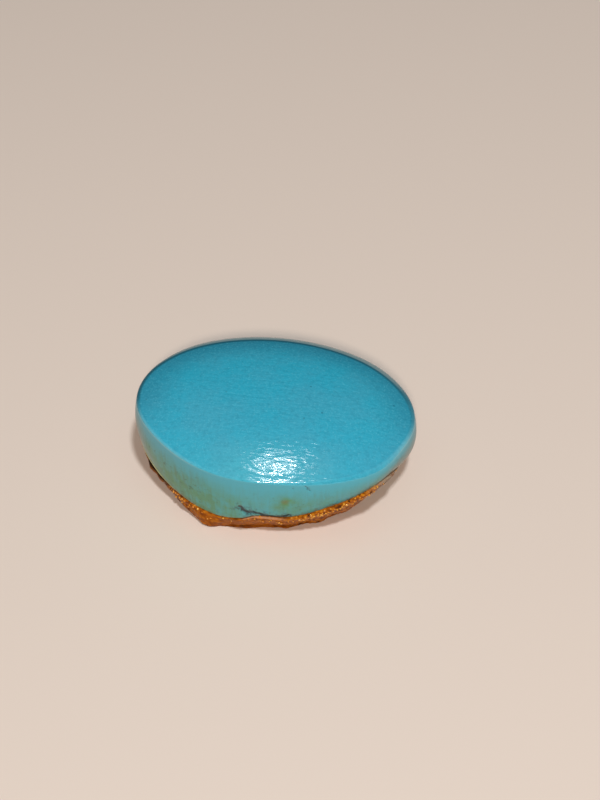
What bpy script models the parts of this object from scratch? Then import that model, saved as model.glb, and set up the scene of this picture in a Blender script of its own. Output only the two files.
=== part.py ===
"""A turquoise nugget, half worked.

One stone.  Its top is a polished low dome inside an oval rim, its side is ground nearly upright,
and below the side it is still the rough brown ironstone rind that the turquoise grew on.  The
seam between them wanders up and down, the rind stands out as a ledge in some places, and in
others a crevice runs in under the turquoise.  Underneath, the rind is cut flat, to rest on.

Metres.  +X runs along the oval, +Y to the back, +Z up.  The origin is on the ground, under the
middle of the stone.
"""

from math import acos, cos, degrees, hypot, pi, radians, sin

import bmesh
import bpy
from mathutils import Vector, noise

NAME = "turquoise_nugget"
MM = 0.001

# Driving dimensions
LENGTH = 30.0 * MM          # the oval of the rim, the long way
WIDTH = 22.0 * MM           # and across
RIM_HEIGHT = 9.2 * MM       # the rim above the ground, half way along
FACE_FALL = 0.05            # slope of the rim down towards +X
DOME_RISE = 1.25 * MM       # middle of the face above the rim
DOME_POWER = 2.6            # 2 is a parabola; a higher power is flatter on top

# The rim wanders from a true oval by these per cents, at angles in degrees from +X towards +Y.
# Every list below is read in the same way, as a smooth closed curve; its values are millimetres.
RIM_WANDER = ((0, -0.5), (30, 0.4), (50, 1.9), (72, 2.4), (106, 3.4), (130, 3.6), (150, 2.2),
              (186, 1.0), (216, -1.9), (250, 0.6), (280, -1.4), (317, 1.8), (338, -1.1))

# The chamfer between the face and the side: its width across, and its height.
CHAMFER_WIDTH = ((0, 0.35), (45, 1.0), (90, 1.15), (125, 1.0), (165, 0.4), (210, 0.22),
                 (270, 0.26), (295, 0.45), (320, 0.5), (338, 0.35))
CHAMFER_DROP = ((0, 0.25), (45, 0.42), (90, 0.5), (125, 0.42), (165, 0.25), (210, 0.17),
                (270, 0.22), (295, 0.4), (320, 0.42), (338, 0.28))
# How much it rounds outwards, as a share of its height.
RIM_ROUND = ((0, 0.25), (30, 0.2), (150, 0.2), (200, 0.25), (260, 0.3), (300, 0.42), (335, 0.4))

# The side, from the rim to the seam: how deep it is, how far in its foot is, how much it bellies.
SIDE_DEPTH = ((0, 4.5), (30, 3.6), (58, 4.6), (80, 4.1), (104, 5.3), (128, 5.7), (152, 4.9),
              (178, 4.7), (203, 5.8), (226, 6.7), (248, 7.1), (259, 6.6), (265, 5.8), (277, 5.85),
              (300, 4.1), (324, 2.6), (341, 3.3))
SIDE_INSET = ((0, 0.4), (40, 0.4), (90, 0.5), (135, 0.3), (180, 0.15), (203, 0.25), (225, 0.3),
              (245, 0.35), (275, 0.35), (305, 0.35), (335, 0.3))
SIDE_BELLY = ((0, 0.4), (50, 0.1), (120, 0.15), (180, 0.3), (200, 0.3), (225, 0.1), (270, 0.06),
              (340, 0.35))

# The crevice under the foot of the side, then the top edge of the rind, which stands out past
# the foot of the side where LEDGE is positive.  The crevice is deepest at a share of its height.
CREVICE_DEPTH = ((0, 0.3), (60, 0.2), (88, 0.7), (118, 0.3), (160, 0.3), (190, 0.6), (204, 1.3),
                 (213, 1.1), (223, 0.3), (240, 0.12), (257, 0.2), (267, 0.45), (279, 0.4),
                 (287, 0.1), (300, 0.08), (320, 0.08), (335, 0.12))
CREVICE_HEIGHT = ((0, 0.3), (60, 0.25), (88, 0.7), (118, 0.3), (165, 0.4), (190, 1.4), (204, 2.1),
                  (213, 1.7), (223, 0.4), (240, 0.15), (257, 0.2), (267, 0.24), (279, 0.22),
                  (287, 0.12), (300, 0.1), (320, 0.1), (335, 0.15))
CREVICE_DEEPEST = 0.4
LEDGE = ((0, -0.3), (35, 0.1), (70, 0.4), (88, -0.1), (118, 0.5), (155, 0.1), (185, -0.2),
         (204, -0.65), (214, -0.45), (226, 0.0), (243, 0.15), (257, 0.1), (268, 0.3), (285, 0.3),
         (302, 0.4), (318, 0.35), (333, 0.1))

# The heel is where the rind turns under; beyond it the underside runs in to the flat base.
HEEL_INSET = ((0, 2.4), (45, 1.6), (75, 0.7), (100, 1.2), (130, 0.6), (160, 1.3), (190, 1.6),
              (208, 1.5), (217, 1.2), (228, 0.8), (236, 0.45), (243, 0.2), (250, 1.05),
              (262, 1.87), (285, 2.08), (305, 2.34), (325, 2.4), (342, 2.0))
HEEL_HEIGHT = ((0, 2.6), (45, 2.0), (75, 1.1), (100, 1.8), (130, 1.0), (160, 1.6), (190, 1.6),
               (210, 1.2), (228, 1.0), (236, 0.45), (243, 0.2), (250, 0.26), (262, 0.26),
               (285, 0.34), (305, 0.95), (325, 2.1), (342, 2.6))
BASE_INSET = ((0, 7.4), (25, 6.2), (45, 5.4), (75, 3.9), (105, 5.2), (135, 3.8), (165, 5.8),
              (195, 4.4), (220, 3.2), (243, 1.5), (256, 2.0), (285, 2.6), (310, 4.4), (335, 6.6))

# How the rind bulges between those edges, and the lumps on it: the spacing of the noise that
# makes them, and the height for one unit of it.  A unit less the mean leaves the rind's size as is.
FLANK_BULGE = 0.1 * MM
UNDER_BULGE = 0.35 * MM
LUMPS = ((4.3 * MM, 1.28 * MM), (2.1 * MM, 0.72 * MM))
NOISE_MEAN = 0.2

# How strong the lumps are round the stone, as a share, and how ragged the seam and the edge of
# the base are, in millimetres either way.
ROUGHNESS = ((0, 1.0), (90, 1.1), (180, 0.9), (212, 0.5), (240, 0.3), (320, 0.4), (345, 0.9))
SEAM_RAGGED = 0.16
BASE_RAGGED = 0.6
RAGGED_SIZE = 3.0 * MM

# Pits in the rind: angle, height of the middle, width, depth.
PITS = ((22, 3.2, 2.6, 0.5), (62, 1.9, 2.2, 0.45), (97, 2.4, 3.0, 0.6), (141, 2.2, 2.4, 0.5),
        (172, 1.9, 2.8, 0.5), (232, 1.6, 1.6, 0.2), (318, 3.6, 1.8, 0.2), (346, 3.4, 2.4, 0.45))

# Zones of the surface from the top of the dome down to the middle of the base, with the number
# of rings of faces in each.
ZONES = (("face", 8), ("chamfer", 2), ("side", 8), ("crevice", 2), ("ledge", 2), ("flank", 8),
         ("under", 7), ("base", 4))
SEGMENTS = 108


def around(points, angle):
    """Value at an angle in degrees, 0 to 360, on the smooth closed curve through the points."""
    after = sum(place <= angle for place, _ in points)
    near = []
    for index in range(after - 2, after + 2):
        turn, place = divmod(index, len(points))
        near.append((points[place][0] + 360 * turn, points[place][1]))
    (a0, v0), (a1, v1), (a2, v2), (a3, v3) = near
    span = a2 - a1
    t = (angle - a1) / span
    leave = (v2 - v0) / (a2 - a0) * span
    arrive = (v3 - v1) / (a3 - a1) * span
    return (v1 + t * leave + t * t * (3 * (v2 - v1) - 2 * leave - arrive)
            + t * t * t * (2 * (v1 - v2) + leave + arrive))


def zone_of_ring(ring):
    """The zone that a ring of vertices is in, and how far through it the ring is, 0 to 1."""
    for zone, count in ZONES:
        if ring <= count:
            return zone, ring / count
        ring -= count
    return ZONES[-1][0], 1.0


def lumps(point):
    """Height of the rind at a point: round lumps parted by creases, below as much as above 0."""
    return sum(height * (abs(noise.noise(point / size)) - NOISE_MEAN) for size, height in LUMPS)


def pits(turn, height):
    """How far the rind is sunk by its pits at an angle in degrees and a height."""
    sunk = 0
    for angle, level, width, depth in PITS:
        across = radians((turn - angle + 180) % 360 - 180) * (LENGTH + WIDTH) / 4
        share = hypot(across, height - level * MM) / (width / 2 * MM)
        sunk += depth * MM * max(0, 1 - share * share) ** 2
    return sunk


class Section:
    """The upright cut through the stone at one angle of the oval."""

    def __init__(self, angle):
        self.turn = turn = degrees(angle)
        scale = 1 + around(RIM_WANDER, turn) / 100
        self.rim = Vector((cos(angle) * LENGTH / 2, sin(angle) * WIDTH / 2, 0)) * scale
        self.rim.z = RIM_HEIGHT - FACE_FALL * self.rim.x
        self.out = Vector((cos(angle) / LENGTH, sin(angle) / WIDTH, 0)).normalized()
        ragged = noise.noise(self.rim / RAGGED_SIZE)
        foot_in = around(SIDE_INSET, turn) * MM
        foot_drop = (around(SIDE_DEPTH, turn) + ragged * SEAM_RAGGED) * MM
        crevice_drop = around(CREVICE_HEIGHT, turn) * MM
        self.belly = around(SIDE_BELLY, turn) * MM
        self.rounding = around(RIM_ROUND, turn)
        self.roughness = around(ROUGHNESS, turn)
        self.edge = self.inside(around(CHAMFER_WIDTH, turn) * MM, 0)
        self.shoulder = self.inside(0, around(CHAMFER_DROP, turn) * MM)
        self.foot = self.inside(foot_in, foot_drop)
        self.crevice = self.inside(foot_in + around(CREVICE_DEPTH, turn) * MM,
                                   foot_drop + crevice_drop * CREVICE_DEEPEST)
        self.ledge = self.inside(foot_in - around(LEDGE, turn) * MM, foot_drop + crevice_drop)
        self.heel = self.inside(around(HEEL_INSET, turn) * MM, 0)
        self.heel.z = around(HEEL_HEIGHT, turn) * MM
        self.base = self.inside((around(BASE_INSET, turn) + ragged * BASE_RAGGED) * MM, 0)
        self.base.z = 0

    def inside(self, inset, drop):
        """The point this far in from the rim and this far below it."""
        return self.rim - self.out * inset - Vector((0, 0, drop))

    def rough(self, start, end, t, bulge, fade):
        """A point on the rind between two edges, bulged outwards and covered in lumps."""
        point = start.lerp(end, t)
        run = end - start
        face = Vector((self.out.x * -run.z, self.out.y * -run.z, self.out.dot(run))).normalized()
        height = lumps(point) * self.roughness * fade - pits(self.turn, point.z) * 4 * t * (1 - t)
        point += face * (bulge * 4 * t * (1 - t) + height)
        point.z = max(point.z, 0)
        return point

    def point(self, zone, t):
        """The surface at t, from 0 to 1, down the named zone."""
        if zone == "face":
            share = sin(t * pi / 2)
            point = self.edge * share
            height = DOME_RISE * (1 - share ** DOME_POWER)
            point.z = RIM_HEIGHT - FACE_FALL * point.x + height
            return point
        if zone == "chamfer":
            point = self.edge.lerp(self.shoulder, t)
            point.z += self.rounding * (self.edge.z - self.shoulder.z) * sin(pi * t)
            return point
        if zone == "side":
            return self.shoulder.lerp(self.foot, t) + self.out * self.belly * sin(pi * t)
        if zone == "crevice":
            return self.foot.lerp(self.crevice, t)
        if zone == "ledge":
            height = lumps(self.ledge) * self.roughness
            return self.crevice.lerp(self.ledge, t) + self.out * height * t
        if zone == "flank":
            return self.rough(self.ledge, self.heel, t, FLANK_BULGE, 1)
        if zone == "under":
            return self.rough(self.heel, self.base, t, UNDER_BULGE, 1 - t ** 3)
        return self.base * (1 - t)


def shape_stone(mesh):
    """Move each vertex of a unit sphere in the mesh to its place on the stone."""
    rings = sum(count for _, count in ZONES)
    sections = [Section(2 * pi * turn / SEGMENTS) for turn in range(SEGMENTS)]
    for vertex in mesh.verts:
        ring = round(acos(max(-1, min(1, vertex.co.z))) / pi * rings)
        turn = Vector((1, 0)).angle_signed(Vector(vertex.co.xy), 0) if 0 < ring < rings else 0
        section = sections[round(-turn / (2 * pi) * SEGMENTS) % SEGMENTS]
        vertex.co = section.point(*zone_of_ring(ring))


def centre_on_origin(mesh):
    """Put the middle of the stone's length and width over the origin."""
    xs = [vertex.co.x for vertex in mesh.verts]
    ys = [vertex.co.y for vertex in mesh.verts]
    shift = Vector((-(min(xs) + max(xs)) / 2, -(min(ys) + max(ys)) / 2, 0))
    bmesh.ops.translate(mesh, verts=mesh.verts, vec=shift)


def turquoise_material():
    material = bpy.data.materials.new("turquoise_stone")
    material.use_nodes = True
    surface = material.node_tree.nodes["Principled BSDF"]
    surface.inputs["Base Color"].default_value = (0.045, 0.35, 0.48, 1)
    surface.inputs["Roughness"].default_value = 0.3
    surface.inputs["Metallic"].default_value = 0.0
    return material


def build_stone():
    mesh = bmesh.new()
    bmesh.ops.create_uvsphere(mesh, u_segments=SEGMENTS,
                              v_segments=sum(count for _, count in ZONES), radius=1)
    shape_stone(mesh)
    centre_on_origin(mesh)
    bmesh.ops.triangulate(mesh, faces=mesh.faces)
    bmesh.ops.recalc_face_normals(mesh, faces=mesh.faces)
    data = bpy.data.meshes.new(NAME)
    mesh.to_mesh(data)
    mesh.free()
    data.materials.append(turquoise_material())
    data.shade_smooth()
    data.set_sharp_from_angle(angle=radians(40))
    return bpy.data.objects.new(NAME, data)


def main():
    for leftover in list(bpy.data.objects):
        bpy.data.objects.remove(leftover)
    collection = bpy.data.collections.new("turquoise_nugget_parts")
    bpy.context.scene.collection.children.link(collection)
    collection.objects.link(build_stone())


main()
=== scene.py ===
import math

import bpy
import numpy as np
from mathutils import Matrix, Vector, noise


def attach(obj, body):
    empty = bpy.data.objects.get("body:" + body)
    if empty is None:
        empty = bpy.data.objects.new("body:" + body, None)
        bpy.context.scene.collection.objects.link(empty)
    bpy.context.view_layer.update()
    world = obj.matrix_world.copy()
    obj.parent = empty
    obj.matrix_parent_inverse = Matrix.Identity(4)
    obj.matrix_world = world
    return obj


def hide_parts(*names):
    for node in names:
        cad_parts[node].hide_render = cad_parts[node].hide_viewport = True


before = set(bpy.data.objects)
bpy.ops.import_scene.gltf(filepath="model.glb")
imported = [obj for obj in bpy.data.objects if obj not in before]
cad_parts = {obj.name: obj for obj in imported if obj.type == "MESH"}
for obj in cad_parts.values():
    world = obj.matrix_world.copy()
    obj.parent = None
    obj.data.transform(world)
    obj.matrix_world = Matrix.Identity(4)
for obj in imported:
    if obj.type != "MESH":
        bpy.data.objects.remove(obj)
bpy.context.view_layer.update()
mm = 0.001  # the dictionaries hold millimetres and degrees, the meshes hold metres
print("frame loaded")


def colour(code):
    # sRGB hex to the linear values that the shaders want
    parts = [int(code[i:i + 2], 16) / 255 for i in (1, 3, 5)]
    return [p / 12.92 if p <= 0.04045 else ((p + 0.055) / 1.055) ** 2.4 for p in parts] + [1.0]


def addNode(tree, kind, settings=(), inputs=()):
    # one node: its settings, then each input by name or number, a value or what to link it from
    node = tree.nodes.new(kind)
    for name, value in dict(settings).items():
        setattr(node, name, value)
    for name, value in dict(inputs).items():
        if isinstance(value, bpy.types.Node):
            value = value.outputs[0]
        if isinstance(value, bpy.types.NodeSocket):
            tree.links.new(value, node.inputs[name])
        else:
            node.inputs[name].default_value = value
    return node


# The stone is one solid of upright cuts round an oval: a polished dome, a narrow worn rim, a ground
# side, and under the seam the rough rind down to the flat that it stands on.
stone = {
    "length": 30.0, "width": 22.0,         # the oval of the rim
    "rimHeight": 9.2, "faceFall": 0.05,    # above the ground half way along, and its slope to +X
    "domeRise": 1.25, "domePower": 2.6,    # a higher power is flatter on top
    "creviceDeepest": 0.4,
    "flankBulge": 0.1, "underBulge": 0.35,
    "lumps": ((4.3, 1.28), (2.1, 0.72)),   # spacing of the rind's lumps, and their height
    "lumpMean": 0.2,
    "seamRagged": 0.16, "baseRagged": 0.6, "raggedSize": 3.0,
    "segments": 720,
    "rings": {"face": 20, "chamfer": 7, "side": 40, "crevice": 6, "ledge": 8, "flank": 30,
              "under": 14, "base": 5},
    "edgeSoftening": 2,                    # passes that round the edges between the zones
    "lipFlare": 0.16, "lipHeight": 0.3,
    "crackDepth": 0.2, "crackWall": 0.25, "crackBed": 0.05,   # its walls start and end this far out
    "crackFoot": 0.05, "crackReach": 9.0,  # height it stops at, and further off than counts
    "underSmoother": 0.6,                  # how much less grain there is underneath
    "bleachedBare": 0.9,                   # how many fewer crystals where the rind is bleached
    "ledgeHighlightCrowding": 2,                    # how much the painted ledge highlight shortens the painted crevice shade above it
}

# Values round the stone: angle from +X towards +Y, then millimetres, or per cent for rimWander.
stoneCurves = {
    "rimWander": ((0, -0.5), (30, 0.4), (50, 1.9), (72, 2.4), (106, 3.4), (130, 3.6), (150, 2.2),
                  (186, 1.0), (216, -1.9), (250, 0.6), (280, -1.4), (317, 1.8), (338, -1.1)),
    "chamferWidth": ((0, 0.35), (45, 1.0), (90, 1.15), (125, 1.0), (165, 0.4), (210, 0.22),
                     (270, 0.26), (295, 0.45), (320, 0.5), (338, 0.35)),
    "chamferDrop": ((0, 0.25), (45, 0.42), (90, 0.5), (125, 0.42), (165, 0.25), (210, 0.17),
                    (270, 0.22), (295, 0.4), (320, 0.42), (338, 0.28)),
    "rimRound": ((0, 0.25), (30, 0.2), (150, 0.2), (200, 0.25), (260, 0.3), (300, 0.42), (335, 0.4)),
    "sideDepth": ((0, 4.5), (30, 3.6), (58, 4.6), (80, 4.1), (104, 5.3), (128, 5.7), (152, 4.9),
                  (178, 4.7), (203, 5.8), (226, 6.7), (248, 7.1), (259, 6.6), (265, 5.8),
                  (277, 5.85), (300, 4.1), (324, 2.6), (341, 3.3)),
    "sideInset": ((0, 0.4), (40, 0.4), (90, 0.5), (135, 0.3), (180, 0.15), (203, 0.25), (225, 0.3),
                  (245, 0.35), (275, 0.35), (305, 0.35), (335, 0.3)),
    "sideBelly": ((0, 0.4), (50, 0.1), (120, 0.15), (180, 0.3), (200, 0.3), (225, 0.1),
                  (270, 0.06), (340, 0.35)),
    "creviceDepth": ((0, 0.3), (60, 0.2), (88, 0.7), (118, 0.3), (160, 0.3), (190, 0.6),
                     (204, 1.3), (213, 1.1), (223, 0.3), (240, 0.12), (257, 0.2), (267, 0.45),
                     (279, 0.4), (287, 0.1), (300, 0.08), (320, 0.08), (335, 0.12)),
    "creviceHeight": ((0, 0.3), (60, 0.25), (88, 0.7), (118, 0.3), (165, 0.4), (190, 1.4),
                      (204, 2.1), (213, 1.7), (223, 0.4), (240, 0.15), (257, 0.2), (267, 0.24),
                      (279, 0.22), (287, 0.12), (300, 0.1), (320, 0.1), (335, 0.15)),
    "ledge": ((0, -0.3), (35, 0.1), (70, 0.4), (88, -0.1), (118, 0.5), (155, 0.1), (185, -0.2),
              (204, -0.65), (214, -0.45), (226, 0.0), (243, 0.15), (257, 0.1), (268, 0.3),
              (285, 0.3), (302, 0.4), (318, 0.35), (333, 0.1)),
    "heelInset": ((0, 2.4), (45, 1.6), (75, 0.7), (100, 1.2), (130, 0.6), (160, 1.3), (190, 1.6),
                  (208, 1.5), (217, 1.2), (228, 0.8), (236, 0.45), (243, 0.2), (250, 1.05), (262, 1.87),
                  (285, 2.08), (305, 2.34), (325, 2.4), (342, 2.0)),
    "heelHeight": ((0, 2.6), (45, 2.0), (75, 1.1), (100, 1.8), (130, 1.0), (160, 1.6), (190, 1.6),
                   (210, 1.2), (228, 1.0), (236, 0.45), (243, 0.2), (250, 0.26), (262, 0.26),
                   (285, 0.34), (305, 0.95), (325, 2.1), (342, 2.6)),
    "baseInset": ((0, 7.4), (25, 6.2), (45, 5.4), (75, 3.9), (105, 5.2), (135, 3.8), (165, 5.8),
                  (195, 4.4), (220, 3.2), (243, 1.5), (256, 2.0), (285, 2.6), (310, 4.4),
                  (335, 6.6)),
    "roughness": ((0, 1.0), (90, 1.1), (180, 0.9), (212, 0.5), (240, 0.3), (320, 0.4), (345, 0.9)),
}

# Pits in the rind: angle, height of the middle, width, depth.
stonePits = ((22, 3.2, 2.6, 0.5), (62, 1.9, 2.2, 0.45), (97, 2.4, 3.0, 0.6), (141, 2.2, 2.4, 0.5),
             (172, 1.9, 2.8, 0.5), (232, 1.6, 1.6, 0.2), (318, 3.6, 1.8, 0.2), (346, 3.4, 2.4, 0.45))

# How strong each finish is round the stone, from 0 to 1; several are painted shade, painted sheen and
# painted highlights.
finishCurves = {
    "green": ((0, 0.5), (30, 0.6), (90, 0.8), (140, 0.7), (185, 0.45), (205, 0.8), (222, 1.0),
              (240, 1.0), (252, 0.78), (266, 0.42), (281, 0.65), (295, 0.35), (310, 0.4), (325, 0.45),
              (345, 0.3)),
    "grey": ((0, 0.75), (25, 0.4), (60, 0.1), (120, 0.1), (165, 0.4), (185, 0.75), (197, 0.7),
             (206, 0.25), (214, 0.05), (240, 0.0), (300, 0.0), (318, 0.25), (332, 0.55), (350, 0.85)),
    "mottled": ((0, 0.5), (60, 0.3), (120, 0.5), (190, 0.5), (210, 1.0), (240, 0.9), (252, 0.3),
                (275, 0.4), (290, 0.6), (310, 0.2), (335, 0.4)),
    # a pale rubbed line along the rim, partly a painted highlight on the edge
    "wornAndEdgeHighlight": ((0, 0.5), (30, 0.3), (90, 0.2), (160, 0.2), (190, 0.7), (205, 0.8), (232, 0.7),
             (244, 0.2), (262, 0.05), (290, 0.05), (312, 0.1), (326, 0.35), (338, 0.8), (350, 0.8)),
    # how far the lip flares, and the painted highlight along it
    "lipAndHighlight": ((0, 0.2), (60, 0.1), (130, 0.2), (180, 0.1), (192, 0.7), (200, 1.0), (212, 1.0),
            (220, 0.4), (230, 0.1), (262, 0.1), (310, 0.0), (340, 0.3)),
    # painted shade in the crevice under the side and along the inner ledge
    "paintedCreviceShade": ((0, 0.5), (40, 0.3), (90, 0.8), (130, 0.3), (185, 0.7), (198, 1.0), (211, 0.9),
               (217, 0.3), (230, 0.2), (245, 0.1), (262, 0.6), (270, 0.8), (277, 0.4), (281, 0.0),
               (315, 0.0), (332, 0.05), (345, 0.35)),
    # painted shade: how dark the far rim and the two ends are painted
    "deep": ((0, 0.6), (30, 0.8), (60, 1.0), (120, 1.0), (160, 0.75), (185, 0.6), (205, 0.15),
             (225, 0.0), (300, 0.0), (330, 0.1), (350, 0.4)),
    # painted sheen: how much paler the face is painted near the front rim
    "paintedFrontSheen": ((0, 0.1), (30, 0.1), (60, 0.0), (150, 0.0), (215, 0.0), (240, 0.25), (265, 0.7),
               (285, 0.5), (305, 0.1), (330, 0.0)),
    # painted reflection on the far bevel
    "paintedBevelReflection": ((0, 0.0), (18, 0.1), (30, 0.7), (45, 1.0), (135, 1.0), (148, 0.7), (160, 0.05),
              (200, 0.0), (340, 0.0)),
    # painted shade: a dark line along the far rim and the ends
    "rimShadeLine": ((0, 0.4), (12, 0.6), (25, 0.8), (90, 1.0), (150, 1.0), (180, 1.0), (190, 0.4),
                (200, 0.0), (340, 0.0), (352, 0.2)),
    "seamStain": ((0, 0.4), (60, 0.5), (120, 0.6), (180, 0.3), (205, 0.5), (225, 1.0), (245, 0.7),
                  (258, 0.3), (275, 0.2), (290, 0.8), (325, 0.7), (345, 0.4)),
    # greyish brown low on the side, round the right end and the back
    "lowerSideBrown": ((0, 1.0), (40, 0.6), (90, 0.5), (150, 0.6), (185, 0.5), (196, 0.1), (205, 0.0),
              (316, 0.0), (324, 0.3), (334, 0.9), (345, 1.0)),
    # painted highlight on the ledge under the crack
    "paintedLedgeHighlight": ((0, 0.3), (60, 0.1), (200, 0.0), (257, 0.0), (262, 0.6), (274, 0.45), (279, 0.0),
              (330, 0.0), (345, 0.2)),
    "bleached": ((0, 0.8), (25, 0.3), (60, 0.1), (180, 0.1), (208, 0.2), (216, 0.4), (222, 0.1),
                 (232, 0.0), (311, 0.0), (318, 0.4), (324, 0.9), (345, 1.0)),
    "grainy": ((0, 0.6), (60, 0.8), (120, 0.6), (200, 0.6), (222, 1.0), (238, 0.6), (247, 0.45),
               (262, 0.5), (280, 0.7), (291, 1.0), (313, 1.0), (323, 0.6), (345, 0.6)),
}

# Where each finish starts and where it is full, in millimetres or as a share of the way; several are
# painted shade, painted sheen and painted highlights.
finishFades = {
    "deep": (5.5, 0.0), "paintedFrontSheen": (7.5, 0.5),                            # in from the rim
    "green": (-0.05, 0.7), "grey": (-0.1, 0.5), "mottled": (0.05, 0.5),  # share of the way down
    "seamStain": (0.7, 0.0), "lowerSideBrown": (2.4, 0.2), "paintedCreviceShade": (0.02, -0.12),  # above the seam
    "rind": (0.0, -0.12), "crystals": (0.0, -0.15), "crystalsEnd": (-1.8, -0.4),
    "paintedGroundShade": (0.4, 0.1),                                                  # above the ground
    "paintedLedgeHighlight": (0.45, 0.6), "paintedLedgeHighlightEnd": (0.95, 0.8), "paintedCreviceShadeEnd": (1.1, 0.8),  # out along the ledge
    "cut": (0.9, 1.0),                                                   # in under the stone
}

# Olive stains on the ground side: angle, height above the seam, width, strength.
stoneStains = ((206, 2.6, 3.0, 0.4), (214, 2.2, 3.6, 0.7), (222, 1.4, 3.0, 0.6), (231, 2.6, 1.8, 0.5),
               (238, 1.2, 2.2, 0.5), (277.3, 2.4, 3.4, 0.9), (277.3, 2.9, 1.5, 0.5),
               (296, 1.0, 2.4, 0.5), (318, 0.8, 2.6, 0.5),
               (8, 1.6, 3.0, 0.6), (47, 2.2, 4.0, 0.7), (92, 1.5, 3.2, 0.6), (126, 3.0, 4.4, 0.8),
               (155, 1.6, 3.0, 0.6))

# Cracks: how open each is, from 0 to 1, then its course as angle and height above the seam.
stoneCracks = (
    (1.0, ((258.3, 2.0), (259.0, 1.85), (259.6, 1.35), (260.8, 1.05), (261.6, 0.7), (263.6, 0.62),
           (265.0, 0.3), (266.5, 0.3), (268.0, 0.05), (276.0, 0.0), (278.6, 0.25))),
    (0.17, ((285.4, 4.85), (286.4, 4.5), (286.8, 4.2), (287.6, 3.95))),
    (0.15, ((280.2, 4.9), (280.6, 4.75))),
    (0.5, ((63.0, 3.9), (64.4, 3.1), (66.5, 2.7), (67.1, 1.8), (70.0, 1.1))),
    (0.4, ((142.0, 4.2), (143.5, 3.4), (143.2, 2.7), (145.0, 2.2))),
)

turns = np.arange(stone["segments"]) * 360 / stone["segments"]


def around(points, turn=turns):
    # values at these angles, on the smooth closed curve through the points
    places, values = np.array(points, float).T
    after = np.searchsorted(places, turn, side="right")
    index = after + np.arange(-2, 2)[:, None]
    (a0, a1, a2, a3) = places[index % len(places)] + 360 * (index // len(places))
    (v0, v1, v2, v3) = values[index % len(places)]
    span = a2 - a1
    t = (turn - a1) / span
    leave = (v2 - v0) / (a2 - a0) * span
    arrive = (v3 - v1) / (a3 - a1) * span
    return (v1 + t * leave + t * t * (3 * (v2 - v1) - 2 * leave - arrive)
            + t ** 3 * (2 * (v1 - v2) + leave + arrive))


def noiseAt(points, size):
    # smooth noise at many points
    flat = (points / size).reshape(-1, 3).tolist()
    return np.array([noise.noise(point) for point in flat]).reshape(points.shape[:-1])


def lumps(points):
    # height of the rind: round lumps parted by creases, below as much as above 0
    return sum(rise * (np.abs(noiseAt(points, size)) - stone["lumpMean"])
               for size, rise in stone["lumps"])


def patches(table, height):
    # sum of the soft round patches in a table, at each angle and height
    total = np.zeros(height.shape)
    for angle, level, width, amount in table:
        across = np.radians((turns - angle + 180) % 360 - 180) * (stone["length"] + stone["width"]) / 4
        share = np.hypot(across, height - level) / (width / 2)
        total += amount * np.maximum(0, 1 - share * share) ** 2
    return total


def ramp(low, high, values):
    # 0 below low, 1 above high, and a smooth rise between them
    share = np.clip((values - low) / (high - low), 0, 1)
    return share * share * (3 - 2 * share)


def fromCrack(height):
    # distance to the nearest crack at each angle and height above the seam, more for a narrow one
    here = np.radians(turns) * stone["width"] / 2
    nearest = np.full(height.shape, stone["crackReach"])
    for openness, course in stoneCracks:
        across = np.array([math.radians(angle) for angle, _ in course]) * stone["width"] / 2
        levels = np.array([level for _, level in course])
        for x0, y0, x1, y1 in zip(across, levels, across[1:], levels[1:]):
            x, y = here - x0, height - y0
            t = ((x * (x1 - x0) + y * (y1 - y0)) / ((x1 - x0) ** 2 + (y1 - y0) ** 2)).clip(0, 1)
            away = np.hypot(x - t * (x1 - x0), y - t * (y1 - y0)) / openness
            nearest = np.minimum(nearest, away)
    return nearest


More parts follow.
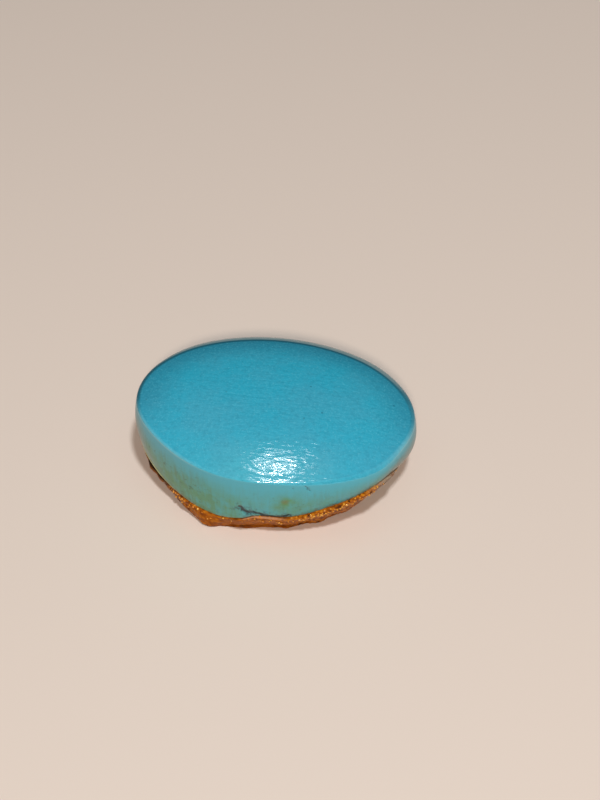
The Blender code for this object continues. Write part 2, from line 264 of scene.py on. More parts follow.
def makeProfiles():
    # rings of points from the top of the dome to the middle of the base, and the fields that the
    # materials and the rind's relief read
    curve = {name: around(points)[:, None] for name, points in stoneCurves.items()}
    up = np.array((0, 0, 1.0))
    cos, sin = np.cos(np.radians(turns)), np.sin(np.radians(turns))
    flat = np.zeros(len(turns))
    rim = np.stack((cos * stone["length"] / 2, sin * stone["width"] / 2, flat), 1)
    rim = rim * (1 + curve["rimWander"] / 100)
    rim[:, 2] = stone["rimHeight"] - stone["faceFall"] * rim[:, 0]
    out = np.stack((cos / stone["length"], sin / stone["width"], flat), 1)
    out /= np.linalg.norm(out, axis=1)[:, None]
    ragged = noiseAt(rim, stone["raggedSize"])[:, None]
    footDrop = curve["sideDepth"] + ragged * stone["seamRagged"]
    edge = rim - out * curve["chamferWidth"]
    shoulder = rim - up * curve["chamferDrop"]
    foot = rim - out * curve["sideInset"] - up * footDrop
    crevice = (foot - out * curve["creviceDepth"]
               - up * curve["creviceHeight"] * stone["creviceDeepest"])
    ledge = foot + out * curve["ledge"] - up * curve["creviceHeight"]
    heel = rim - out * curve["heelInset"]
    heel[:, 2] = curve["heelHeight"][:, 0]
    base = rim - out * (curve["baseInset"] + ragged * stone["baseRagged"])
    base[:, 2] = 0

    lipStrength = around(finishCurves["lipAndHighlight"]).clip(0, 1)

    def rough(start, end, t, bulge, fade):
        point = start + (end - start) * t
        run = end - start
        face = np.stack((out[:, 0] * -run[:, 2], out[:, 1] * -run[:, 2], (out * run).sum(1)), 1)
        face /= np.linalg.norm(face, axis=1)[:, None]
        arch = 4 * t * (1 - t)  # 0 at both ends and 1 half way
        height = (lumps(point) * curve["roughness"][:, 0] * fade
                  - patches(stonePits, point[:, 2]) * arch)
        point = point + face * (bulge * arch + height)[:, None]
        point[:, 2] = np.maximum(point[:, 2], 0)
        return point

    def ring(zone, t):
        if zone == "face":
            share = math.sin(t * math.pi / 2)
            point = edge * share
            point[:, 2] = (stone["rimHeight"] - stone["faceFall"] * point[:, 0]
                           + stone["domeRise"] * (1 - share ** stone["domePower"]))
            return point
        if zone == "chamfer":
            bulge = curve["rimRound"][:, 0] * (edge - shoulder)[:, 2] * math.sin(math.pi * t)
            return edge + (shoulder - edge) * t + up * bulge[:, None]
        if zone == "side":
            t = (t + (1 - math.cos(math.pi * t)) / 2) / 2  # closer together near the edges
            point = shoulder + (foot - shoulder) * t
            above = point[:, 2] - foot[:, 2]
            flare = stone["lipFlare"] * lipStrength * ramp(stone["lipHeight"], 0, above)
            crack = stone["crackDepth"] * ramp(stone["crackWall"], stone["crackBed"],
                                               fromCrack(above[None])[0])
            crack = crack * (above > stone["crackFoot"])
            bulge = curve["sideBelly"][:, 0] * math.sin(math.pi * t) + flare - crack
            return point + out * bulge[:, None]
        if zone == "crevice":
            return foot + (crevice - foot) * t
        if zone == "ledge":
            height = lumps(ledge) * curve["roughness"][:, 0]
            return crevice + (ledge - crevice) * t + out * (height * t)[:, None]
        if zone == "flank":
            return rough(ledge, heel, t, stone["flankBulge"], 1)
        if zone == "under":
            return rough(heel, base, t, stone["underBulge"], 1 - t ** 3)
        return base * (1 - t)

    steps = [("face", 0)]
    steps += [(zone, (k + 1) / count) for zone, count in stone["rings"].items() for k in range(count)]
    rings = np.array([ring(zone, t) for zone, t in steps])
    zones = [zone for zone, _ in steps]
    for _ in range(stone["edgeSoftening"]):
        rings[1:-1] = (rings[:-2] + 2 * rings[1:-1] + rings[2:]) / 4

    finish = {name: around(points).clip(0, 1) for name, points in finishCurves.items()}
    everywhere = np.ones(rings.shape[:2])
    insideRim = np.hypot(*(rim - rings)[:, :, :2].transpose(2, 0, 1))
    belowRim = shoulder[:, 2] - rings[:, :, 2]
    aboveSeam = rings[:, :, 2] - foot[:, 2]
    down = (belowRim / (shoulder - foot)[:, 2]).clip(0, 1)
    below = np.array([zone in ("ledge", "flank", "under", "base") for zone in zones])[:, None]
    wall = np.array([zone in ("side", "crevice") for zone in zones])[:, None]
    under = np.array([t if zone == "under" else float(zone == "base") for zone, t in steps])[:, None]
    inner = np.array([t if zone == "ledge" else float(zone in ("flank", "under", "base"))
                      for zone, t in steps])[:, None]
    reach = 1 + stone["ledgeHighlightCrowding"] * finish["paintedLedgeHighlight"]
    fields = {
        "inFromEdge": insideRim - curve["chamferWidth"][:, 0],
        "belowRim": belowRim,
        "aboveSeam": aboveSeam,
        "fromCrack": fromCrack(aboveSeam),
        "paintedBevelReflection": everywhere * finish["paintedBevelReflection"],
        "rimShadeLine": everywhere * finish["rimShadeLine"],
        "deep": finish["deep"] * ramp(*finishFades["deep"], insideRim),
        "paintedFrontSheen": finish["paintedFrontSheen"] * ramp(*finishFades["paintedFrontSheen"], insideRim),
        "green": finish["green"] * ramp(*finishFades["green"], down),
        "grey": finish["grey"] * ramp(*finishFades["grey"], down),
        "olive": patches(stoneStains, aboveSeam),
        "mottled": finish["mottled"] * ramp(*finishFades["mottled"], down),
        "wornAndEdgeHighlight": everywhere * finish["wornAndEdgeHighlight"],
        "lipAndHighlight": everywhere * finish["lipAndHighlight"],
        "seamStain": finish["seamStain"] * ramp(*finishFades["seamStain"], aboveSeam),
        "lowerSideBrown": finish["lowerSideBrown"] * ramp(*finishFades["lowerSideBrown"], aboveSeam),
        "paintedLedgeHighlight": (finish["paintedLedgeHighlight"] * below * ramp(*finishFades["paintedLedgeHighlight"], inner)
                  * ramp(*finishFades["paintedLedgeHighlightEnd"], inner)),
        # painted shade low on the rind, near the ground
        "paintedGroundShade": below * ramp(*finishFades["paintedGroundShade"], rings[:, :, 2]) * (1 - under) ** 2,
        "bleached": finish["bleached"] * below,
        # painted shade in the crevice and on the inner ledge
        "paintedCreviceShade": finish["paintedCreviceShade"] * (
            ramp(*finishFades["paintedCreviceShade"], aboveSeam) * wall
            + below * (1 - under) * ramp(*finishFades["paintedCreviceShadeEnd"], inner * reach)),
        "rind": below * ramp(*finishFades["rind"], aboveSeam) * (1 - under ** 3),
        "grainy": finish["grainy"] * below * (1 - stone["underSmoother"] * under),
        "crystals": (finish["grainy"] ** 2 * (1 - stone["bleachedBare"] * finish["bleached"])
                     * below * ramp(*finishFades["crystals"], aboveSeam)
                     * ramp(*finishFades["crystalsEnd"], aboveSeam)),
        "cut": ramp(*finishFades["cut"], under * everywhere),
    }
    return rings, zones, fields


def buildStone():
    rings, zones, fields = makeProfiles()
    middle = (rings.reshape(-1, 3).min(0) + rings.reshape(-1, 3).max(0)) / 2
    rings[:, :, :2] -= middle[:2]
    count, last = stone["segments"], len(rings) - 1

    def pinched(values):
        # a single point where the first and the last ring have shrunk to nothing
        return np.concatenate((values[:1, 0], *values[1:-1], values[-1:, 0]))

    points = pinched(rings) * mm
    faces, kinds = [], []
    for ring in range(last):
        above, below = 1 + (ring - 1) * count, 1 + ring * count
        for k in range(count):
            k2 = (k + 1) % count
            if ring == 0:
                faces.append((0, below + k, below + k2))
            elif ring == last - 1:
                faces.append((above + k, len(points) - 1, above + k2))
            else:
                faces.append((above + k, below + k, below + k2, above + k2))
            kinds.append(zones[ring + 1])
    mesh = bpy.data.meshes.new("turquoiseStone")
    mesh.from_pydata(points.tolist(), [], faces)
    for name, values in fields.items():
        layer = mesh.attributes.new(name, "FLOAT", "POINT")
        layer.data.foreach_set("value", pinched(values).astype(np.float32))
    slots = {"face": 0, "chamfer": 0, "side": 1, "crevice": 1}
    mesh.polygons.foreach_set("material_index", [slots.get(kind, 2) for kind in kinds])
    mesh.shade_smooth()
    body = bpy.data.objects.new("turquoiseStone", mesh)
    bpy.context.scene.collection.objects.link(body)
    return body


# Geometry Nodes carve the fine relief of the rind, and scatter loose crystals along its ledge.
rindRelief = {"Lump Size": 1.1, "Lump Height": 0.22, "Grain Size": 0.38, "Grain Height": 0.1}
rindCrystals = {
    "Spacing": 0.3, "Crystal Size": 0.17, "Seed": 7,
    "Smallest": 0.4,  # as a share of Crystal Size
    "Crowding": 25,   # to the square millimetre, before Spacing thins them
}


def newTree(name, inputs):
    # a geometry tree with a mesh in and out and these named inputs
    tree = bpy.data.node_groups.new(name, "GeometryNodeTree")
    tree.interface.new_socket("Geometry", in_out="INPUT", socket_type="NodeSocketGeometry")
    tree.interface.new_socket("Geometry", in_out="OUTPUT", socket_type="NodeSocketGeometry")
    for label, kind in inputs.items():
        tree.interface.new_socket(label, in_out="INPUT", socket_type="NodeSocket" + kind)
    return tree, addNode(tree, "NodeGroupInput").outputs


def applyTree(thing, tree, values):
    # run the tree on an object, and keep the result as its plain mesh
    modifier = thing.modifiers.new(tree.name, "NODES")
    modifier.node_group = tree
    for item in tree.interface.items_tree:
        if item.in_out == "INPUT" and item.name in values:
            modifier[item.identifier] = values[item.name]
    graph = bpy.context.evaluated_depsgraph_get()
    mesh = bpy.data.meshes.new_from_object(thing.evaluated_get(graph), preserve_all_data_layers=True,
                                           depsgraph=graph)
    thing.modifiers.clear()
    thing.data = mesh


def reliefTree():
    tree, given = newTree("rindRelief", {**dict.fromkeys(rindRelief, "Float"), "Rind": "Material"})
    field = {name: addNode(tree, "GeometryNodeInputNamedAttribute", {"data_type": "FLOAT"},
                           {"Name": name}) for name in ("rind", "grainy")}
    place = addNode(tree, "GeometryNodeInputPosition")
    lumpScale = addNode(tree, "ShaderNodeMath", {"operation": "DIVIDE"},
                        {0: 1.0, 1: given["Lump Size"]})
    grainScale = addNode(tree, "ShaderNodeMath", {"operation": "DIVIDE"},
                         {0: 1.0, 1: given["Grain Size"]})
    lump = addNode(tree, "ShaderNodeTexNoise", {}, {"Vector": place, "Scale": lumpScale, "Detail": 2.0})
    grain = addNode(tree, "ShaderNodeTexVoronoi", {"feature": "SMOOTH_F1"},
                    {"Vector": place, "Scale": grainScale, "Smoothness": 0.35})
    lumpLevel = addNode(tree, "ShaderNodeMath", {"operation": "SUBTRACT"},
                        {0: lump, 1: 0.5})  # the mean of the noise
    lumpRise = addNode(tree, "ShaderNodeMath", {"operation": "MULTIPLY"},
                       {0: lumpLevel, 1: given["Lump Height"]})
    grainHeight = addNode(tree, "ShaderNodeMath", {"operation": "MULTIPLY"},
                          {0: given["Grain Height"], 1: field["grainy"]})
    grainLevel = addNode(tree, "ShaderNodeMath", {"operation": "SUBTRACT"},
                         {0: 0.45, 1: grain})  # the mean of the grains
    rise = addNode(tree, "ShaderNodeMath", {"operation": "MULTIPLY_ADD"},
                   {0: grainLevel, 1: grainHeight, 2: lumpRise})
    rise = addNode(tree, "ShaderNodeMath", {"operation": "MULTIPLY"}, {0: rise, 1: field["rind"]})
    offset = addNode(tree, "ShaderNodeVectorMath", {"operation": "SCALE"},
                     {0: addNode(tree, "GeometryNodeInputNormal"), "Scale": rise})
    moved = addNode(tree, "GeometryNodeSetPosition", {},
                    {"Geometry": given["Geometry"], "Offset": offset})
    above = addNode(tree, "ShaderNodeVectorMath", {"operation": "MAXIMUM"},
                    {0: place, 1: (-1.0, -1.0, 0.0)})  # not below the ground
    moved = addNode(tree, "GeometryNodeSetPosition", {}, {"Geometry": moved, "Position": above})
    kept = addNode(tree, "GeometryNodeStoreNamedAttribute", {"data_type": "FLOAT", "domain": "POINT"},
                   {"Geometry": moved, "Name": "grain", "Value": grain})
    whole = addNode(tree, "GeometryNodeRealizeInstances", {}, {"Geometry": kept})
    isRind = addNode(tree, "FunctionNodeCompare", {"data_type": "INT", "operation": "GREATER_THAN"},
                     {2: addNode(tree, "GeometryNodeInputMaterialIndex"), 3: 1})
    painted = addNode(tree, "GeometryNodeSetMaterial", {},
                      {"Geometry": whole, "Selection": isRind, "Material": given["Rind"]})
    addNode(tree, "NodeGroupOutput", {}, {"Geometry": painted})
    return tree


def crystalTree():
    tree, given = newTree("rindCrystals", {"Spacing": "Float", "Crystal Size": "Float", "Seed": "Int",
                                           "Crystal": "Material"})
    density = addNode(tree, "GeometryNodeInputNamedAttribute", {"data_type": "FLOAT"},
                      {"Name": "crystals"})
    spots = addNode(tree, "GeometryNodeDistributePointsOnFaces", {"distribute_method": "POISSON"}, {
        "Mesh": given["Geometry"], "Distance Min": given["Spacing"],
        "Density Max": rindCrystals["Crowding"] / mm ** 2, "Density Factor": density,
        "Seed": given["Seed"]})
    crystal = addNode(tree, "GeometryNodeMeshIcoSphere", {}, {"Radius": 1.0, "Subdivisions": 1})
    turn = addNode(tree, "FunctionNodeRandomValue", {"data_type": "FLOAT_VECTOR"},
                   {0: (0, 0, 0), 1: (math.tau,) * 3, "Seed": given["Seed"]})
    least = addNode(tree, "ShaderNodeMath", {"operation": "MULTIPLY"},
                    {0: given["Crystal Size"], 1: rindCrystals["Smallest"]})
    size = addNode(tree, "FunctionNodeRandomValue", {"data_type": "FLOAT"},
                   {2: least, 3: given["Crystal Size"], "Seed": given["Seed"]})
    placed = addNode(tree, "GeometryNodeInstanceOnPoints", {}, {
        "Points": spots, "Instance": crystal, "Rotation": turn, "Scale": size.outputs[1]})
    whole = addNode(tree, "GeometryNodeRealizeInstances", {}, {"Geometry": placed})
    flat = addNode(tree, "GeometryNodeSetShadeSmooth", {}, {"Geometry": whole, "Shade Smooth": False})
    painted = addNode(tree, "GeometryNodeSetMaterial", {}, {
        "Geometry": flat, "Material": given["Crystal"]})
    addNode(tree, "NodeGroupOutput", {}, {"Geometry": painted})
    return tree


# In each finish a colour laid over others is a row: the colour, the two ends of the pattern that it
# follows, and how much of it there is at each. A noise has its size in millimetres, its detail, its
# roughness and, where it is drawn out, its stretch.
def startMaterial(name, noises, fields=()):
    # an empty material, and what its layers read: the place, the mesh's fields and the noises
    material = bpy.data.materials.new(name)
    material.use_nodes = True
    tree = material.node_tree
    tree.nodes.clear()
    read = {"place": addNode(tree, "ShaderNodeTexCoord").outputs["Object"]}
    for field in fields:
        read[field] = addNode(tree, "ShaderNodeAttribute", {"attribute_name": field}).outputs["Fac"]
    for pattern, (size, detail, rough, *stretch) in noises.items():
        place = read["place"]
        if stretch:
            place = addNode(tree, "ShaderNodeMapping", {}, {"Vector": place, "Scale": stretch[0]})
        read[pattern] = addNode(tree, "ShaderNodeTexNoise", {}, {
            "Vector": place, "Scale": 1 / (size * mm), "Detail": detail, "Roughness": rough})
    return material, tree, read


def layered(tree, base, use, layers):
    # colours laid over the base in turn: each layer's pattern, then anything that weakens it
    for name, (pattern, *limits) in layers.items():
        code, start, full, least, most = use[name]
        share = addNode(tree, "ShaderNodeMapRange", {}, {
            "Value": pattern, 1: start, 2: full, 3: least, 4: most})
        for limit in limits:
            share = addNode(tree, "ShaderNodeMath", {"operation": "MULTIPLY", "use_clamp": True}, {
                0: share, 1: limit})
        base = addNode(tree, "ShaderNodeMix", {"data_type": "RGBA"}, {
            0: share, 6: base, 7: colour(code)}).outputs[2]
    return base


polishedFinish = {
    "noises": {"cloud": (4.0, 3.0, 0.5), "mottle": (0.5, 4.0, 0.7), "fleck": (0.22, 3.0, 0.75),
               "peel": (0.36, 1.5, 0.5, (0.34, 1.0, 1.0))},
    "clear": "#2faac7",
    "cloudy": ("#3ca7c3", 0.35, 0.65, 0.0, 1.0),
    # painted sheen: paler towards the front rim, where the highlight's haze lies
    "paintedFrontSheen": ("#58b8c7", 0.0, 1.0, 0.0, 0.7),
    # painted shade: darker towards the far rim and the two ends
    "deep": ("#2a86a2", 0.0, 1.0, 0.0, 1.0),
    "dark": ("#17708a", 0.46, 0.74, 0.0, 0.32),
    "light": ("#6ccfe0", 0.52, 0.76, 0.0, 0.4),
    "speck": ("#0d414f", 0.075, 0.025, 0.0, 0.5),  # its ends are shares of speckSpacing
    # a pale rubbed line along the rim, partly a painted highlight on the edge
    "wornAndEdgeHighlight": ("#8ccdd8", 0.1, -0.25, 0.0, 0.6),     # the ends of the last three are in millimetres
    # painted shade: a dark line just inside the far rim and the ends
    "rimShadeLine": ("#1c5260", 0.22, 0.0, 0.0, 0.8),
    # painted reflection: a pale grey strip on the far bevel
    "paintedBevelReflection": ("#8aa2a4", -0.15, -0.35, 0.0, 0.9),
    "speckSpacing": 2.2, "peelHeight": 0.038,
    "roughness": 0.11, "ior": 1.61,
}


def polishedTurquoise():
    # Turquoise, ground to a dome and polished: a waxy gloss over close-grained sky blue, clouded,
    # flecked, and faintly dimpled like orange peel where the soft stone drags under the polish
    # Painted shade at the far rim and ends, painted sheen at the front, a painted reflection on the far
    # bevel.
    use = polishedFinish
    material, tree, read = startMaterial("polishedTurquoise", use["noises"], (
        "inFromEdge", "deep", "paintedFrontSheen", "wornAndEdgeHighlight", "paintedBevelReflection", "rimShadeLine"))
    speck = addNode(tree, "ShaderNodeTexVoronoi", {}, {
        "Vector": read["place"], "Scale": 1 / (use["speckSpacing"] * mm)})
    base = layered(tree, colour(use["clear"]), use, {
        "cloudy": (read["cloud"],),
        "paintedFrontSheen": (read["paintedFrontSheen"],),
        "deep": (read["deep"],),
        "dark": (read["mottle"],),
        "light": (read["fleck"],),
        "speck": (speck,),
        "wornAndEdgeHighlight": (read["inFromEdge"], read["wornAndEdgeHighlight"]),
        "rimShadeLine": (read["inFromEdge"], read["rimShadeLine"]),
        "paintedBevelReflection": (read["inFromEdge"], read["paintedBevelReflection"]),
    })
    bump = addNode(tree, "ShaderNodeBump", {}, {
        "Height": read["peel"], "Distance": use["peelHeight"] * mm})
    surface = addNode(tree, "ShaderNodeBsdfPrincipled", {}, {
        "Base Color": base, "Roughness": use["roughness"], "IOR": use["ior"], "Normal": bump})
    addNode(tree, "ShaderNodeOutputMaterial", {}, {"Surface": surface})
    return material


groundFinish = {
    "noises": {"stain": (1.6, 5.0, 0.65), "mottle": (0.5, 3.0, 0.6),
               "streak": (0.3, 2.0, 0.5, (1.0, 1.0, 0.1))},
    "stainUneven": 2.2, "streakUneven": 0.9, "unevenBase": -0.55,
    "turquoise": "#42abc0",
    "green": ("#4e8f6e", 0.0, 3.0, 0.0, 3.0),   # as uneven as it comes, and held at 1
    "grey": ("#84928c", 0.4, 1.6, 1.3, 0.6),    # most where there is least green
    "olive": ("#4f8c50", 0.36, 0.6, 0.0, 1.0),
    "moss": ("#2a6048", 0.6, 0.68, 0.0, 0.65),
    "streaks": ("#4a7a70", 0.48, 0.7, 0.0, 0.5),
    "seamStain": ("#6a5a26", 0.38, 0.62, 0.0, 1.0),
    "rust": ("#6a6a40", 0.85, 1.4, 0.0, 0.8),
    # greyish brown low on the side, round the right end and the back
    "lowerSideBrown": ("#6e5c48", 0.36, 0.56, 0.0, 1.0),
    # painted highlight: a bright yellow-green line along the foot of the side
    "lipAndHighlight": ("#dcd88c", 0.32, 0.32 / 3, 0.0, 0.9),  # up from the seam
    # paler down from the rim where it is rubbed, partly painted sheen on the lit shoulder
    "wornAndShoulderSheen": ("#93c6cc", 0.35, 0.0, 0.0, 0.6),      # down from the rim
    # painted shade: near black in the crevice under the side
    "paintedCreviceShade": ("#1d1712", 0.0, 1.0, 0.0, 1.0),
    "bruise": ("#24404a", 0.48, 0.62, 0.0, 0.9),
    "crack": ("#0c1920", 0.19, 0.076, 0.0, 0.95),  # out from the middle of the crack
    "bruiseWidth": 1.0, "bruiseCore": 0.1, "crackRagged": 0.2, "scratchHeight": 0.006,
    "roughness": 0.32, "ior": 1.61,
}


def groundTurquoise():
    # The same turquoise, ground on a wheel: satin, streaked upright, and stained green, olive and
    # grey by the iron of the rind, most of all near the seam
    # Painted shade fills the crevice, a painted highlight runs along the foot, and the rim band is
    # partly painted sheen.
    use = groundFinish
    material, tree, read = startMaterial("groundTurquoise", use["noises"], (
        "belowRim", "aboveSeam", "fromCrack", "green", "grey", "olive", "mottled", "wornAndEdgeHighlight", "lipAndHighlight",
        "seamStain", "lowerSideBrown", "paintedCreviceShade"))
    streaked = addNode(tree, "ShaderNodeMath", {"operation": "MULTIPLY_ADD"}, {
        0: read["streak"], 1: use["streakUneven"], 2: use["unevenBase"]})
    uneven = addNode(tree, "ShaderNodeMath", {"operation": "MULTIPLY_ADD"}, {
        0: read["stain"], 1: use["stainUneven"], 2: streaked})
    nearCrack = addNode(tree, "ShaderNodeMapRange", {}, {
        "Value": read["fromCrack"], 1: use["bruiseWidth"], 2: use["bruiseCore"]})
    centred = addNode(tree, "ShaderNodeMath", {"operation": "SUBTRACT"}, {
        0: read["fromCrack"], 1: use["crackRagged"] * 2})
    ragged = addNode(tree, "ShaderNodeMath", {"operation": "MULTIPLY_ADD"}, {
        0: read["mottle"], 1: use["crackRagged"] * 4, 2: centred})
    base = layered(tree, colour(use["turquoise"]), use, {
        "green": (uneven, read["green"]),
        "grey": (uneven, read["grey"]),
        "olive": (read["stain"], read["olive"]),
        "moss": (read["mottle"], read["mottled"]),
        "streaks": (read["streak"], read["mottled"]),
        "seamStain": (read["mottle"], read["seamStain"]),
        "rust": (read["olive"],),
        "lowerSideBrown": (read["mottle"], read["lowerSideBrown"]),
        "lipAndHighlight": (read["aboveSeam"], read["lipAndHighlight"]),
        "wornAndShoulderSheen": (read["belowRim"], read["wornAndEdgeHighlight"]),
        "paintedCreviceShade": (read["paintedCreviceShade"],),
        "bruise": (read["mottle"], nearCrack),
        "crack": (ragged,),
    })
    bump = addNode(tree, "ShaderNodeBump", {}, {
        "Height": read["streak"], "Distance": use["scratchHeight"] * mm})
    surface = addNode(tree, "ShaderNodeBsdfPrincipled", {}, {
        "Base Color": base, "Roughness": use["roughness"], "IOR": use["ior"], "Normal": bump})
    addNode(tree, "ShaderNodeOutputMaterial", {}, {"Surface": surface})
    return material


rindFinish = {
    "noises": {"tone": (1.4, 4.0, 0.5), "spot": (0.5, 2.0, 0.5), "pitting": (0.16, 2.0, 0.5),
               # a stone saw leaves lines every 0.1 mm, too fine to show
               "sawLine": (0.3, 2.0, 0.5, (1.0, 0.04, 1.0))},
    "rust": "#9e5210",
    "ochre": ("#b06412", 0.35, 0.7, 0.0, 1.0),
    # painted highlight: the raised grains lighter
    "grainHighlight": ("#d08418", 0.5, 0.2, 0.0, 0.8),      # the grains stand up where their value is low
    "bleached": ("#978876", 0.38, 0.5, 0.4, 1.0),
    # painted shade: darker in the creases between the grains
    "creaseShade": ("#5a2a08", 0.5, 0.8, 0.0, 1.0),     # and part in creases where it is high
    "spots": ("#3a1d06", 0.6, 0.72, 0.0, 1.0),
    # painted shade: darker low on the rind near the ground
    "paintedGroundShade": ("#4a1d05", 0.0, 1.0, 0.0, 0.5),
    # painted highlight: a pale pinkish line on the ledge top under the crack
    "paintedLedgeHighlight": ("#c99b7c", 0.0, 1.0, 0.0, 1.0),
    # painted shade: near black along the inner ledge under the side
    "paintedCreviceShade": ("#1d130b", 0.0, 1.0, 0.0, 1.0),
    "cut": "#9a6a3c",
    "cutDark": ("#6b3a16", 0.42, 0.62, 0.0, 0.8),
    "sawMark": ("#b98a58", 0.5, 0.7, 0.0, 0.3),
    "cutOchre": ("#b06412", 0.52, 0.62, 0.0, 0.6),
    "cutSpots": ("#3a1d06", 0.4, 0.3, 0.0, 0.8),
    "cutEdge": (1.0, 1.12), "pittingHeight": 0.03,
    "roughness": 0.4, "ior": 1.5, "specularLevel": 0.06,
}


def limoniteRind():
    # Limonite, the iron rust that turquoise grows on, left as it broke: grainy orange brown with a
    # resinous gloss, painted shade in its creases, crevices and near the ground, painted highlights on
    # its grains and ledge, and paler and duller where it is sawn flat underneath
    use = rindFinish
    material, tree, read = startMaterial("limoniteRind", use["noises"], (
        "grain", "grainy", "cut", "paintedGroundShade", "paintedLedgeHighlight", "bleached", "paintedCreviceShade"))
    broken = layered(tree, colour(use["rust"]), use, {
        "ochre": (read["tone"],),
        "grainHighlight": (read["grain"], read["grainy"]),
        "bleached": (read["tone"], read["bleached"]),
        "creaseShade": (read["grain"], read["grainy"]),
        "spots": (read["spot"], read["grainy"]),
        "paintedGroundShade": (read["paintedGroundShade"],),
        "paintedLedgeHighlight": (read["paintedLedgeHighlight"],),
        "paintedCreviceShade": (read["paintedCreviceShade"],),
    })
    sawn = layered(tree, colour(use["cut"]), use, {
        "cutDark": (read["tone"],),
        "sawMark": (read["sawLine"],),
        "cutOchre": (read["spot"],),
        "cutSpots": (read["spot"],),
    })
    ragged = addNode(tree, "ShaderNodeMath", {"operation": "ADD"}, {0: read["tone"], 1: read["cut"]})
    cutShare = addNode(tree, "ShaderNodeMapRange", {}, {
        "Value": ragged, 1: use["cutEdge"][0], 2: use["cutEdge"][1]})
    base = addNode(tree, "ShaderNodeMix", {"data_type": "RGBA"}, {
        0: cutShare, 6: broken, 7: sawn}).outputs[2]
    height = addNode(tree, "ShaderNodeMix", {}, {
        0: cutShare, 2: read["pitting"], 3: read["sawLine"]}).outputs[0]
    bump = addNode(tree, "ShaderNodeBump", {}, {
        "Height": height, "Distance": use["pittingHeight"] * mm})
    surface = addNode(tree, "ShaderNodeBsdfPrincipled", {}, {
        "Base Color": base, "Roughness": use["roughness"], "IOR": use["ior"],
        "Specular IOR Level": use["specularLevel"], "Normal": bump})
    addNode(tree, "ShaderNodeOutputMaterial", {}, {"Surface": surface})
    return material


crystalFinish = {
    "noises": {"tone": (0.6, 2.0, 0.5)},
    "honey": "#c06c14",
    "amber": ("#e8a838", 0.35, 0.65, 0.0, 1.0),
    "glint": "#ffe2a0", "roughness": 0.36, "ior": 2.2,
}


def goethiteCrystals():
    # Goethite, the clear honey grains that sparkle in the rind: small bright facets
    use = crystalFinish
    material, tree, read = startMaterial("goethiteCrystals", use["noises"])
    base = layered(tree, colour(use["honey"]), use, {"amber": (read["tone"],)})
    surface = addNode(tree, "ShaderNodeBsdfPrincipled", {}, {
        "Base Color": base, "Roughness": use["roughness"], "IOR": use["ior"],
        "Specular Tint": colour(use["glint"])})
    addNode(tree, "ShaderNodeOutputMaterial", {}, {"Surface": surface})
    return material


body = buildStone()
polished, ground, rind = polishedTurquoise(), groundTurquoise(), limoniteRind()
for material in (polished, ground, rind):
    body.data.materials.append(material)
applyTree(body, reliefTree(), {**{name: size * mm for name, size in rindRelief.items()}, "Rind": rind})
crystals = bpy.data.objects.new("rindCrystals", body.data.copy())
bpy.context.scene.collection.objects.link(crystals)
applyTree(crystals, crystalTree(), {
    "Spacing": rindCrystals["Spacing"] * mm, "Crystal Size": rindCrystals["Crystal Size"] * mm,
    "Seed": rindCrystals["Seed"], "Crystal": goethiteCrystals()})
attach(body, "root")
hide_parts("turquoise_nugget")
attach(crystals, "root")
print("stone made:", len(body.data.vertices), "points")


studio = {
    "floorSize": 3000.0, "floorColour": "#e3d4c8", "floorRoughness": 0.6,
    "keySize": 50.0, "keyPower": 2.05, "keyFrom": (78.0, -218.0, 552.0), "keyColour": "#f6fbff",
    "fillSize": 60.0, "fillPower": 1.7, "fillFrom": (30.0, -450.0, 420.0), "fillColour": "#fff0e2",
    "lampSize": 24.0, "lampPower": 0.1, "lampFrom": (29.0, 115.0, 520.0), "lampColour": "#ffffff",
    "sheenSize": 70.0, "sheenPower": 0.07, "sheenFrom": (25.0, 150.0, 510.0), "sheenColour": "#ffffff",
    "skyColour": "#fbf7f2", "skyDark": "#5a5856", "skyStrength": 0.25,
    "skyEdge": (0.6, 0.92),  # how steeply up it starts to be bright, and is
    "lens": 85.5, "distance": 205.0, "azimuth": 6.0, "elevation": 46.0,
    "lookedAt": (2.56, 0.66, 9.58),
}


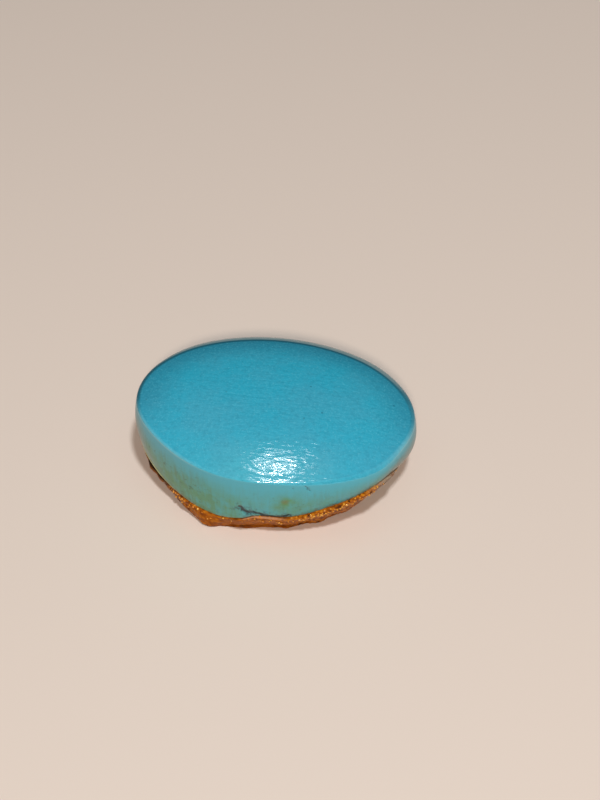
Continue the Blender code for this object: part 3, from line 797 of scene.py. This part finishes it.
def makeStudio():
    half = studio["floorSize"] / 2 * mm
    mesh = bpy.data.meshes.new("floor")
    mesh.from_pydata([(-half, -half, 0), (half, -half, 0), (half, half, 0), (-half, half, 0)], [],
                     [(0, 1, 2, 3)])
    floor = bpy.data.objects.new("floor", mesh)
    bpy.context.scene.collection.objects.link(floor)
    paper = bpy.data.materials.new("paleBoard")  # matt painted board
    paper.use_nodes = True
    surface = paper.node_tree.nodes["Principled BSDF"]
    surface.inputs["Base Color"].default_value = colour(studio["floorColour"])
    surface.inputs["Roughness"].default_value = studio["floorRoughness"]
    mesh.materials.append(paper)

    for name in ("key", "fill", "lamp", "sheen"):
        light = bpy.data.lights.new(name, "AREA")
        light.shape = "DISK"
        light.size = studio[name + "Size"] * mm
        light.energy = studio[name + "Power"]
        light.color = colour(studio[name + "Colour"])[:3]
        holder = bpy.data.objects.new(name, light)
        holder.location = Vector(studio[name + "From"]) * mm
        holder.rotation_euler = holder.location.to_track_quat("Z", "Y").to_euler()
        holder.visible_diffuse = name in ("key", "fill")  # the others only shine in the polish
        bpy.context.scene.collection.objects.link(holder)

    world = bpy.data.worlds.new("sky")
    world.use_nodes = True
    world.node_tree.nodes.clear()
    way = addNode(world.node_tree, "ShaderNodeTexCoord").outputs["Generated"]
    height = addNode(world.node_tree, "ShaderNodeSeparateXYZ", {}, {0: way}).outputs["Z"]
    bright = addNode(world.node_tree, "ShaderNodeMapRange", {"interpolation_type": "SMOOTHSTEP"}, {
        "Value": height, 1: studio["skyEdge"][0], 2: studio["skyEdge"][1]})
    sky = addNode(world.node_tree, "ShaderNodeMix", {"data_type": "RGBA"}, {
        0: bright, 6: colour(studio["skyDark"]), 7: colour(studio["skyColour"])}).outputs[2]
    sky = addNode(world.node_tree, "ShaderNodeBackground", {}, {
        "Color": sky, "Strength": studio["skyStrength"]})
    addNode(world.node_tree, "ShaderNodeOutputWorld", {}, {"Surface": sky})
    bpy.context.scene.world = world
    bpy.context.scene.view_settings.view_transform = "Standard"


def makeCamera():
    camera = bpy.data.objects.new("camera", bpy.data.cameras.new("camera"))
    camera.data.lens = studio["lens"]
    camera.data.clip_start = 0.01
    turn, rise = math.radians(studio["azimuth"]), math.radians(studio["elevation"])
    back = Vector((math.sin(turn) * math.cos(rise), -math.cos(turn) * math.cos(rise), math.sin(rise)))
    camera.location = (Vector((0, 0, stone["rimHeight"])) + back * studio["distance"]) * mm
    away = camera.location - Vector(studio["lookedAt"]) * mm
    camera.rotation_euler = away.to_track_quat("Z", "Y").to_euler()
    bpy.context.scene.collection.objects.link(camera)
    bpy.context.scene.camera = camera


makeStudio()
makeCamera()
print("studio made")
